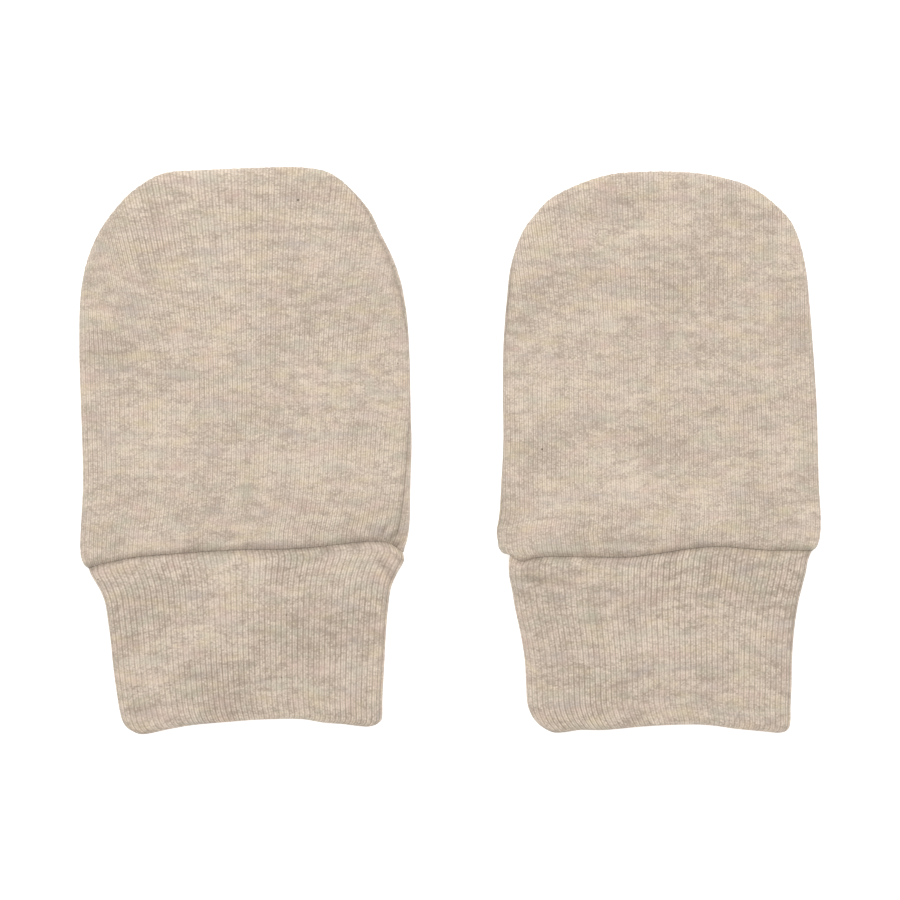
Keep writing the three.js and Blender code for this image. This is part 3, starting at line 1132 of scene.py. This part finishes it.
@dataclass
class CuffTube:
    """The cuff of one mitten: a flattened tube of rib knit, folded double at the hem."""

    cut: MittenCut
    ribs: int = 104
    columns_per_rib: int = 8
    height: float = 3.6
    wall: float = 1.6
    hollow: float = 0.4
    groove_lift: float = 0.3
    groove_drop: float = 0.97
    groove_reach: float = 0.8
    seam_gap: float = 0.01
    rib_depth: float = 0.22
    outer_rows: int = 46
    fold_rows: int = 7
    inner_rows: int = 10
    side_seam_share: float = 0.488
    side_seam_sink: float = 0.3
    side_seam_spread: float = 0.55
    side_seam_shade: float = 0.4
    side_seam_top: float = 0.4
    side_seam_start: float = 0.5
    side_seam_full: float = 0.95
    flat_at_groove: float = 0.4
    inner_shade_start: float = 0.3
    crowded_rows: float = 0.55
    closed_within: float = 1e-4
    shade: GrooveShade = GrooveShade(narrow=0.4, wide=0.9, narrow_share=0.65)

    def __post_init__(self) -> None:
        """Prepare the curves of the cut."""
        self.left = RowCurve(self.cut.cuff, "down", "left")
        self.right = RowCurve(self.cut.cuff, "down", "right")
        self.seam_line = self.cut.seam_curve()
        self.hem_line = RowCurve(self.cut.edges, "across", "hem")
        self.length = self.seam_line.at(0.5) - self.hem_line.at(0.5)

    @property
    def rows(self) -> int:
        """Rows of faces round the wall, the last of them closing it at the seam."""
        return self.outer_rows + self.fold_rows + self.inner_rows + 1

    def _way(self, row: int) -> tuple[float, float, float]:
        """Follow the wall from the seam, round the hem fold and back up inside to the seam.

        Args:
            row: the row of points.

        Returns:
            The share of the cuff's length, the inset into the wall, and the share of rib depth.
        """
        if row == self.rows:
            return 0.0, 0.0, 1.0
        fold = self.wall / 2.0
        fold_start = 1.0 - fold / self.length
        if row <= self.outer_rows:
            share = row / self.outer_rows
            turn = 2.0 * math.pi
            even = share - self.crowded_rows * math.sin(turn * share) / turn
            return fold_start * even, 0.0, 1.0
        if row <= self.outer_rows + self.fold_rows:
            angle = math.pi * (row - self.outer_rows) / self.fold_rows
            down = fold_start + (fold / self.length) * math.sin(angle)
            return down, fold * (1.0 - math.cos(angle)), 0.5 + 0.5 * math.cos(angle)
        share = (row - self.outer_rows - self.fold_rows) / self.inner_rows
        return fold_start * (1.0 - share), self.wall, 0.0

    def _ring_point(self, turn: float, width: float, height: float) -> tuple[Vector, Vector]:
        """Point of a flattened ring, from its left end over the top and back underneath.

        Args:
            turn: share of the way around.
            width: width of the ring.
            height: height of the ring.

        Returns:
            The point across and up from the ring's lower left, and the way out of it.
        """
        radius = height / 2.0
        flat = width - height
        arc = 0.5 * math.pi * radius
        half = turn if turn <= 0.5 else 1.0 - turn
        upper = 1.0 if turn <= 0.5 else -1.0
        run = half * 2.0 * (flat + 2.0 * arc)
        if run < arc:
            angle = run / radius
            across = radius * (1.0 - math.cos(angle))
        elif run > arc + flat:
            angle = 0.5 * math.pi + (run - arc - flat) / radius
            across = width - radius * (1.0 + math.cos(angle))
        else:
            angle = 0.5 * math.pi
            across = run - arc + radius
        out = Vector((-math.cos(angle), upper * math.sin(angle)))
        return Vector((across, radius + radius * out.y)), out

    def _lie(
        self, turn: float, down: float, inset: float, rib_share: float
    ) -> tuple[Vector, float]:
        """Where a point of the cuff lies.

        Args:
            turn: share of the way around the cuff.
            down: share of its length.
            inset: how deep in the wall the point lies.
            rib_share: share of the ribs' depth there.

        Returns:
            The point, and the share of painted shade there, from 0 to 1, by the groove, inside
            the doubled wall, along the side seam and in fold troughs.
        """
        turned = turn if turn <= 0.5 else 1.0 - turn
        # How strongly the groove's painted shade shows at this place around the cuff.
        opened = self.cut.groove_share(2.0 * turned)
        run = down * self.length
        dip = hump(run, self.groove_reach)
        lift = self.groove_lift * dip
        height = self.height - (self.groove_lift + self.groove_drop) * dip
        if inset > 0.0:
            inset = min(inset, (height - self.hollow) / 2.0)
        left = self.left.at(down)
        right = self.right.at(down)
        width = right - left
        point, out = self._ring_point(turn, width - 2.0 * inset, height - 2.0 * inset)
        seam = hump((turn - self.side_seam_share) * 2.0 * width, self.side_seam_spread)
        seam_down = ease(down, self.side_seam_start, self.side_seam_full)
        sink = seam * self.side_seam_sink * rib_share * mix(self.side_seam_top, 1.0, seam_down)
        depth = self.rib_depth * (1.0 - self.flat_at_groove * dip)
        cut = (1.0 - ribbed(turn * self.ribs)) * depth * rib_share + sink
        across = point.x + inset - cut * out.x
        share = clamp(across / width)
        up = mix(self.seam_line.at(share) - self.seam_gap, self.hem_line.at(share), down)
        above = lift + point.y + inset - cut * out.y
        folds = 0.0
        if out.y > 0.0:
            folds = sum(crease.at(left + across, up) for crease in self.cut.cuff_creases)
            above += folds * out.y * (1.0 if inset == 0.0 else rib_share)
        # Painted shade by the groove, and full painted shade on the wall's inside.
        groove_and_inside_shade = opened * self.shade.at(run, left + across)
        if inset > 0.0:
            groove_and_inside_shade = 1.0 - ease(rib_share, 0.0, self.inner_shade_start)
        shade = groove_and_inside_shade + (self.side_seam_shade * seam + fold_shade(folds)) * rib_share
        return Vector((left + across, up, above)), clamp(shade)

    def build(self, finish: "KnitFinish") -> bpy.types.Object:
        """Build the cuff as a closed ribbed tube and dress it.

        Args:
            finish: the knit that the cuff is made of.

        Returns:
            The piece in the scene.
        """
        name = f"{self.cut.name}_rib_cuff"
        shell = KnitShell(name, self.ribs * self.columns_per_rib, self.rows)
        mesh = shell.mesh
        laid = {}
        cloth = {}
        for vert in mesh.verts:
            turn = vert.co.x + 0.5
            row = round((vert.co.y + 0.5) * self.rows)
            down, inset, rib_share = self._way(row)
            laid[vert], vert[shell.crease] = self._lie(turn, down, inset, rib_share)
            along = (down + (inset / self.wall) * 2.0 * (1.0 - down)) * self.length
            if row == self.rows:
                along = 2.0 * self.length + self.wall
            cloth[vert] = (turn * self.ribs, along)
        shell.map_cloth(cloth, finish.piece_offset(name))
        for vert, place in laid.items():
            vert.co = place
        bmesh.ops.remove_doubles(mesh, verts=mesh.verts, dist=self.closed_within)
        bmesh.ops.reverse_faces(mesh, faces=mesh.faces)
        piece = shell.finish(self.cut.place, "cuff_rib", f"{self.cut.name}_cuff")
        finish.dress(piece)
        return piece


class Wire:
    """A number in a material's node tree, with the usual operators."""

    def __init__(self, kit: "NodeKit", socket: bpy.types.NodeSocket) -> None:
        """Keep the tree and the socket that gives the number."""
        self.kit = kit
        self.socket = socket

    def _maths(self, operation: str, *values: "Wire | float", clamped: bool = False) -> "Wire":
        """Add one Math node.

        Args:
            operation: its operation.
            values: its inputs, wires or numbers.
            clamped: whether the result is kept between 0 and 1.

        Returns:
            The result.
        """
        settings = {"operation": operation, "use_clamp": clamped}
        return self.kit.node("ShaderNodeMath", settings, dict(enumerate(values))).wire(0)

    def __add__(self, other: "Wire | float") -> "Wire":
        """Sum."""
        return self._maths("ADD", self, other)

    __radd__ = __add__

    def __sub__(self, other: "Wire | float") -> "Wire":
        """Difference."""
        return self._maths("SUBTRACT", self, other)

    def __rsub__(self, other: float) -> "Wire":
        """Difference, the number first."""
        return self._maths("SUBTRACT", other, self)

    def __mul__(self, other: "Wire | float") -> "Wire":
        """Product."""
        return self._maths("MULTIPLY", self, other)

    __rmul__ = __mul__

    def __truediv__(self, other: "Wire | float") -> "Wire":
        """Quotient."""
        return self._maths("DIVIDE", self, other)

    def floor(self) -> "Wire":
        """Whole number below."""
        return self._maths("FLOOR", self)

    def fraction(self) -> "Wire":
        """Part after the whole number."""
        return self._maths("FRACT", self)

    def distance(self, other: float) -> "Wire":
        """Distance from a number."""
        return self._maths("ABSOLUTE", self - other)

    def sine(self) -> "Wire":
        """Sine of an angle in radians."""
        return self._maths("SINE", self)

    def clamped(self) -> "Wire":
        """The number kept between 0 and 1."""
        return self._maths("ADD", self, 0.0, clamped=True)

    def ease(self, start: float, end: float) -> "Wire":
        """Rise smoothly from 0 to 1.

        Args:
            start: where the rise starts.
            end: where it ends.

        Returns:
            The share risen.
        """
        settings = {"interpolation_type": "SMOOTHSTEP"}
        values = {"Value": self, "From Min": start, "From Max": end}
        return self.kit.node("ShaderNodeMapRange", settings, values).wire("Result")


class MadeNode:
    """A node that was added, giving its outputs as wires."""

    def __init__(self, kit: "NodeKit", node: bpy.types.Node) -> None:
        """Keep the tree and the node."""
        self.kit = kit
        self.node = node

    def socket(self, key: "int | str") -> bpy.types.NodeSocket:
        """One output socket."""
        return self.node.outputs[key]

    def wire(self, key: "int | str") -> Wire:
        """One output as a number."""
        return Wire(self.kit, self.node.outputs[key])


@dataclass(frozen=True)
class Mottle:
    """Soft noise over cloth: how often it changes for each unit across and along the ribs, its
    own place in the noise, and its detail and roughness."""

    across: float
    along: float
    place: float
    detail: float = 1.0
    roughness: float = 0.5


WANDER = Mottle(3.7, 0.35, 0.0)
FIBRE = Mottle(2.4, 3.0, 9.0, detail=2.0, roughness=0.7)
# Patches and clouds that vary how strongly the painted shade in the furrows shows.
FURROW_SHADE_PATCHES = Mottle(0.9, 0.35, 17.0)
FURROW_SHADE_CLOUDS = Mottle(0.07, 0.07, 51.0)
FLECKS = Mottle(0.9, 0.9, 40.0, detail=0.0)
PINK_TO_GREEN = Mottle(0.15, 0.26, 21.0, detail=3.0, roughness=0.55)
CREAM_TO_GREY = Mottle(0.13, 0.3, 27.0, detail=3.0, roughness=0.55)
LONG_STREAKS = Mottle(0.27, 0.6, 5.0, detail=2.0, roughness=0.55)
COURSE_STREAKS = Mottle(0.42, 5.3, 13.0)
CLOUDS = Mottle(0.06, 0.09, 31.0)


class NodeKit:
    """Adds nodes to one material."""

    def __init__(self, tree: bpy.types.NodeTree) -> None:
        """Start on an emptied node tree."""
        self.tree = tree
        tree.nodes.clear()

    def node(self, kind: str, settings: dict, values: Optional[dict] = None) -> MadeNode:
        """Add a node.

        Args:
            kind: the node's type.
            settings: properties set before its sockets are used.
            values: for each input socket a wire, a socket to link, or a plain value.

        Returns:
            The node.
        """
        node = self.tree.nodes.new(kind)
        for key, value in settings.items():
            setattr(node, key, value)
        for key, value in (values or {}).items():
            if isinstance(value, Wire):
                value = value.socket
            if isinstance(value, bpy.types.NodeSocket):
                self.tree.links.new(value, node.inputs[key])
            else:
                node.inputs[key].default_value = value
        return MadeNode(self, node)

    def point(self, x: "Wire | float", y: "Wire | float", z: "Wire | float") -> MadeNode:
        """Join three numbers to a point."""
        return self.node("ShaderNodeCombineXYZ", {}, {0: x, 1: y, 2: z})

    def mottle(self, pattern: Mottle, across: Wire, along: Wire) -> Wire:
        """Add a soft noise.

        Args:
            pattern: what the noise is like.
            across: place across the ribs.
            along: place along them.

        Returns:
            The noise, centred on 0.5.
        """
        point = self.point(across * pattern.across, along * pattern.along, pattern.place)
        values = {
            "Vector": point.socket(0),
            "Scale": 1.0,
            "Detail": pattern.detail,
            "Roughness": pattern.roughness,
        }
        return self.node("ShaderNodeTexNoise", {}, values).wire(0)

    def speckle(self, point: MadeNode) -> Wire:
        """Add an even random number for each whole point.

        Args:
            point: the point, its coordinates whole numbers.

        Returns:
            The number, from 0 to 1.
        """
        settings = {"noise_dimensions": "3D"}
        values = {"Vector": point.socket(0)}
        return self.node("ShaderNodeTexWhiteNoise", settings, values).wire("Value")

    def finish(self, shader_values: dict) -> None:
        """Add the surface shader with its values and link it to the output."""
        shader = self.node("ShaderNodeBsdfPrincipled", {}, shader_values)
        self.node("ShaderNodeOutputMaterial", {}, {0: shader.socket(0)})

    def blend(self, share: Wire, first: object, second: object) -> bpy.types.NodeSocket:
        """Blend two colours.

        Args:
            share: share of the second one.
            first: the first colour, a socket or four numbers.
            second: the second colour, a socket or four numbers.

        Returns:
            The blended colour.
        """
        settings = {"data_type": "RGBA", "blend_type": "MIX"}
        values = {0: share, FIRST_COLOUR: first, SECOND_COLOUR: second}
        return self.node("ShaderNodeMix", settings, values).socket(MIXED_COLOUR)


Colour = tuple[float, float, float, float]
WHITE: Colour = (1.0, 1.0, 1.0, 1.0)


@dataclass(frozen=True)
class KnitFinish:
    """Heather rib knit: two yarn shades in streaks along the courses, painted shade in the
    furrows between the ribs and down the middle of each rib, painted shade from the pieces'
    attribute, and the legs of the stitches along their backs. Pitches and the bump's depth are in
    millimetres, and a share says how strongly a pattern shows."""

    name: str
    light: Colour
    dark: Colour
    # Colour of the painted shade in the furrows and down the ribs' middles.
    furrow: Colour
    shadow: Colour
    pink: Colour
    green: Colour
    cream: Colour
    grey: Colour
    rib_pitch: float
    course_pitch: float
    furrow_shade_share: float
    middle_shade_share: float
    streak_share: float
    tint_share: float
    painted_shade_share: float
    bump_depth: float
    pieces: tuple[str, ...]
    ribs_apart: float = 131.0
    fleck: Colour = (0.1, 0.075, 0.055, 1.0)
    fleck_share: float = 0.8
    fleck_start: float = 0.9
    fleck_full: float = 0.92
    furrow_start: float = 0.55
    middle_width: float = 0.3
    wander_courses: float = 1.4
    leg_slant: float = 0.55
    grain_share: float = 0.55
    fibre_share: float = 2.4
    patch_shade_share: float = 0.9
    grain_shade_share: float = 0.5
    cloud_shade_share: float = 1.9
    furrow_shade_base: float = -0.65
    leg_height: float = 0.1
    middle_depth: float = 0.3
    fibre_height: float = 0.6
    long_share: float = 1.5
    course_share: float = 0.45
    cloud_share: float = 0.8
    tint_full: float = 0.75
    bump_strength: float = 0.8
    roughness: float = 0.86
    furrow_roughness: float = 0.1
    specular: float = 0.25
    sheen: float = 0.25
    sheen_roughness: float = 0.6

    def piece_offset(self, piece: str) -> float:
        """Ribs by which a piece's pattern is moved, so that no two pieces are alike."""
        return self.ribs_apart * self.pieces.index(piece)

    def dress(self, piece: bpy.types.Object) -> None:
        """Give a piece this knit."""
        material = bpy.data.materials.get(self.name) or self._make()
        piece.data.materials.append(material)

    def _make(self) -> bpy.types.Material:
        """Build the material.

        Returns:
            The material, with its nodes.
        """
        material = bpy.data.materials.new(self.name)
        material.use_nodes = True
        kit = NodeKit(material.node_tree)
        uv = kit.node("ShaderNodeUVMap", {"uv_map": UV_NAME})
        parts = kit.node("ShaderNodeSeparateXYZ", {}, {0: uv.socket(0)})
        ribs = parts.wire(0) * UV_UNIT
        length = parts.wire(1) * UV_UNIT
        across = ribs * self.rib_pitch
        # Painted shade in the groove, along the seams and in fold troughs, from the pieces'
        # attribute.
        crease = kit.node("ShaderNodeAttribute", {"attribute_name": PAINTED_SHADE_ATTRIBUTE}).wire("Fac")
        away = ribs.fraction().distance(0.5) * 2.0
        wander = kit.mottle(WANDER, ribs.floor(), length)
        course = length / self.course_pitch + wander * self.wander_courses
        furrow = away.ease(self.furrow_start, 1.0)
        middle = 1.0 - away.ease(0.0, self.middle_width)
        leg = ((course + away * self.leg_slant) * (2.0 * math.pi)).sine() * 0.5 + 0.5
        streaks = self._streaks(kit, across, length, course)
        grain = kit.speckle(kit.point((ribs * 2.0).floor(), (course * 2.0).floor(), 3.0))
        fibre = kit.mottle(FIBRE, across, length)
        tone = streaks + (grain - 0.5) * self.grain_share + (fibre - 0.5) * self.fibre_share
        body = kit.blend(tone.clamped(), self.dark, self.light)
        tinted = self._tint(kit, across, length, body)
        uneven_shade = kit.mottle(FURROW_SHADE_PATCHES, across, length)
        shade_clouds = kit.mottle(FURROW_SHADE_CLOUDS, across, length)
        # Painted shade in the furrows and down each rib's middle, stronger or weaker in uneven
        # patches.
        gap = furrow * self.furrow_shade_share + middle * self.middle_shade_share
        seen = uneven_shade * self.patch_shade_share + grain * self.grain_shade_share + shade_clouds * self.cloud_shade_share
        furrow_shaded = kit.blend((gap * (seen + self.furrow_shade_base)).clamped(), tinted, self.furrow)
        fleck = kit.mottle(FLECKS, across, length).ease(self.fleck_start, self.fleck_full)
        flecked = kit.blend(fleck * self.fleck_share, furrow_shaded, self.fleck)
        # Painted shade: blend towards the shadow colour by the attribute.
        shaded = kit.blend((crease * self.painted_shade_share).clamped(), flecked, self.shadow)
        height = leg * (1.0 - furrow) * self.leg_height - middle * self.middle_depth
        bump_values = {
            "Strength": self.bump_strength,
            "Distance": self.bump_depth * MM,
            "Height": height + fibre * self.fibre_height,
        }
        bump = kit.node("ShaderNodeBump", {}, bump_values)
        kit.finish(
            {
                "Base Color": shaded,
                "Roughness": self.roughness + furrow * self.furrow_roughness,
                "Specular IOR Level": self.specular,
                "Sheen Weight": self.sheen,
                "Sheen Roughness": self.sheen_roughness,
                "Normal": bump.socket(0),
            }
        )
        return material

    def _tint(
        self, kit: NodeKit, across: Wire, length: Wire, colour: bpy.types.NodeSocket
    ) -> bpy.types.NodeSocket:
        """Tint a colour in drifting patches, towards pink, green, cream and grey.

        Args:
            kit: the material's nodes.
            across: place across the cloth in millimetres.
            length: place along the ribs in millimetres.
            colour: the colour to tint.

        Returns:
            The tinted colour.
        """
        for pattern, above, below in (
            (PINK_TO_GREEN, self.pink, self.green),
            (CREAM_TO_GREY, self.cream, self.grey),
        ):
            drift = kit.mottle(pattern, across, length)
            for share, tint in (
                (drift.ease(0.5, self.tint_full), above),
                (1.0 - drift.ease(1.0 - self.tint_full, 0.5), below),
            ):
                colour = kit.blend(share * self.tint_share, colour, tint)
        return colour

    def _streaks(self, kit: NodeKit, across: Wire, length: Wire, course: Wire) -> Wire:
        """Share of light yarn: streaks along the courses over slow clouds.

        Args:
            kit: the material's nodes.
            across: place across the cloth in millimetres.
            length: place along the ribs in millimetres.
            course: count of courses along the ribs.

        Returns:
            The share, about 0.5.
        """
        long = kit.mottle(LONG_STREAKS, across, length)
        single = kit.mottle(COURSE_STREAKS, across, course.floor())
        cloud = kit.mottle(CLOUDS, across, length)
        drift = (long - 0.5) * self.long_share + (single - 0.5) * self.course_share
        return 0.5 + (drift + (cloud - 0.5) * self.cloud_share) * self.streak_share


@dataclass(frozen=True)
class Studio:
    """Pale table, soft light and the camera straight above. Lengths are in metres, but for the
    width of the field and the sensor, which are in millimetres."""

    field_width: float = 190.8
    camera_height: float = 1.1
    sensor: float = 36.0
    floor_size: float = 3.0
    floor_colour: Colour = (0.93, 0.93, 0.93, 1.0)
    floor_glow: float = 0.4
    floor_roughness: float = 0.9
    floor_specular: float = 0.1
    view_limit: float = 10.0
    world_strength: float = 1.0
    key_power: float = 4.0
    key_size: float = 0.6
    key_place: tuple[float, float, float] = (-0.05, 0.6, 0.75)

    def build(self) -> None:
        """Set up the table, the lights and the camera."""
        self._floor()
        self._world()
        self._key()
        self._camera()

    def _floor(self) -> None:
        """Add the table top, glowing evenly so that it stays white where the mittens would shade
        it.
        """
        sheet = bmesh.new()
        bmesh.ops.create_grid(sheet, x_segments=1, y_segments=1, size=self.floor_size / 2.0)
        mesh = bpy.data.meshes.new("table_top")
        sheet.to_mesh(mesh)
        sheet.free()
        floor = bpy.data.objects.new("table_top", mesh)
        bpy.context.scene.collection.objects.link(floor)
        material = bpy.data.materials.new("pale_table")
        material.use_nodes = True
        NodeKit(material.node_tree).finish(
            {
                "Base Color": self.floor_colour,
                "Roughness": self.floor_roughness,
                "Specular IOR Level": self.floor_specular,
                "Emission Color": WHITE,
                "Emission Strength": self.floor_glow,
            }
        )
        mesh.materials.append(material)

    def _world(self) -> None:
        """Light everything evenly from all around."""
        world = bpy.data.worlds.new("soft_room")
        world.use_nodes = True
        background = world.node_tree.nodes["Background"]
        background.inputs["Color"].default_value = WHITE
        background.inputs["Strength"].default_value = self.world_strength
        bpy.context.scene.world = world

    def _key(self) -> None:
        """Add the broad lamp beyond the fingertips."""
        lamp = bpy.data.lights.new("key", "AREA")
        lamp.shape = "DISK"
        lamp.size = self.key_size
        lamp.energy = self.key_power
        key = bpy.data.objects.new("key", lamp)
        key.location = self.key_place
        aim = Vector((0.0, 0.0, 0.0)) - Vector(self.key_place)
        key.rotation_euler = aim.to_track_quat("-Z", "Y").to_euler()
        bpy.context.scene.collection.objects.link(key)

    def _camera(self) -> None:
        """Add the camera, looking straight down with the fingertips at the top."""
        lens = bpy.data.cameras.new("camera")
        lens.sensor_width = self.sensor
        lens.lens = self.sensor * self.camera_height / (self.field_width * MM)
        lens.clip_end = self.view_limit
        camera = bpy.data.objects.new("camera", lens)
        camera.location = (0.0, 0.0, self.camera_height)
        bpy.context.scene.collection.objects.link(camera)
        bpy.context.scene.camera = camera
        bpy.context.scene.view_settings.view_transform = "Standard"


@dataclass
class Mitten:
    """One mitten: two hand panels sewn along their sides and tip, and a doubled rib cuff."""

    cut: MittenCut
    hand_knit: KnitFinish
    cuff_knit: KnitFinish
    panel_flat: tuple[float, float] = (0.072, 0.084)
    panel_area: float = 0.0057
    cuff_flat: tuple[float, float] = (0.124, 0.037)

    def build(self) -> list[bpy.types.Object]:
        """Build the mitten's pieces.

        Returns:
            The pieces.
        """
        back = HandPanel(self.cut, Face.BACK).build(self.hand_knit)
        front = HandPanel(self.cut, Face.FRONT).build(self.hand_knit)
        cuff = CuffTube(self.cut).build(self.cuff_knit)
        return [back, front, cuff]


HAND_KNIT = KnitFinish(
    name="heather_hand_knit",
    light=(0.665, 0.56, 0.455, 1.0),
    dark=(0.365, 0.295, 0.235, 1.0),
    furrow=(0.235, 0.18, 0.135, 1.0),
    shadow=(0.17, 0.13, 0.095, 1.0),
    pink=(0.60, 0.43, 0.365, 1.0),
    green=(0.47, 0.46, 0.345, 1.0),
    cream=(0.62, 0.51, 0.335, 1.0),
    grey=(0.46, 0.405, 0.375, 1.0),
    rib_pitch=0.98,
    course_pitch=0.66,
    furrow_shade_share=0.45,
    middle_shade_share=0.33,
    streak_share=1.05,
    tint_share=0.45,
    painted_shade_share=0.42,
    bump_depth=0.16,
    pieces=("left_knit_back", "left_knit_front", "right_knit_back", "right_knit_front"),
)

CUFF_KNIT = KnitFinish(
    name="heather_cuff_rib",
    light=(0.655, 0.55, 0.45, 1.0),
    dark=(0.34, 0.275, 0.218, 1.0),
    furrow=(0.215, 0.165, 0.12, 1.0),
    shadow=(0.17, 0.13, 0.095, 1.0),
    pink=(0.59, 0.425, 0.36, 1.0),
    green=(0.465, 0.455, 0.34, 1.0),
    cream=(0.61, 0.505, 0.33, 1.0),
    grey=(0.455, 0.40, 0.37, 1.0),
    rib_pitch=1.13,
    course_pitch=0.75,
    furrow_shade_share=0.46,
    middle_shade_share=0.31,
    streak_share=1.05,
    tint_share=0.42,
    painted_shade_share=0.42,
    bump_depth=0.18,
    pieces=("left_rib_cuff", "right_rib_cuff"),
)


def main() -> None:
    """Build both mittens and the studio around the frame."""
    logging.basicConfig(level=logging.INFO, format="%(name)s: %(message)s")
    log.info("the frame has %d nodes", len(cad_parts))
    for cut in (LEFT_CUT, RIGHT_CUT):
        for piece in Mitten(cut, HAND_KNIT, CUFF_KNIT).build():
            log.info("built %s", piece.name)
    Studio().build()


if __name__ == "__main__":
    main()
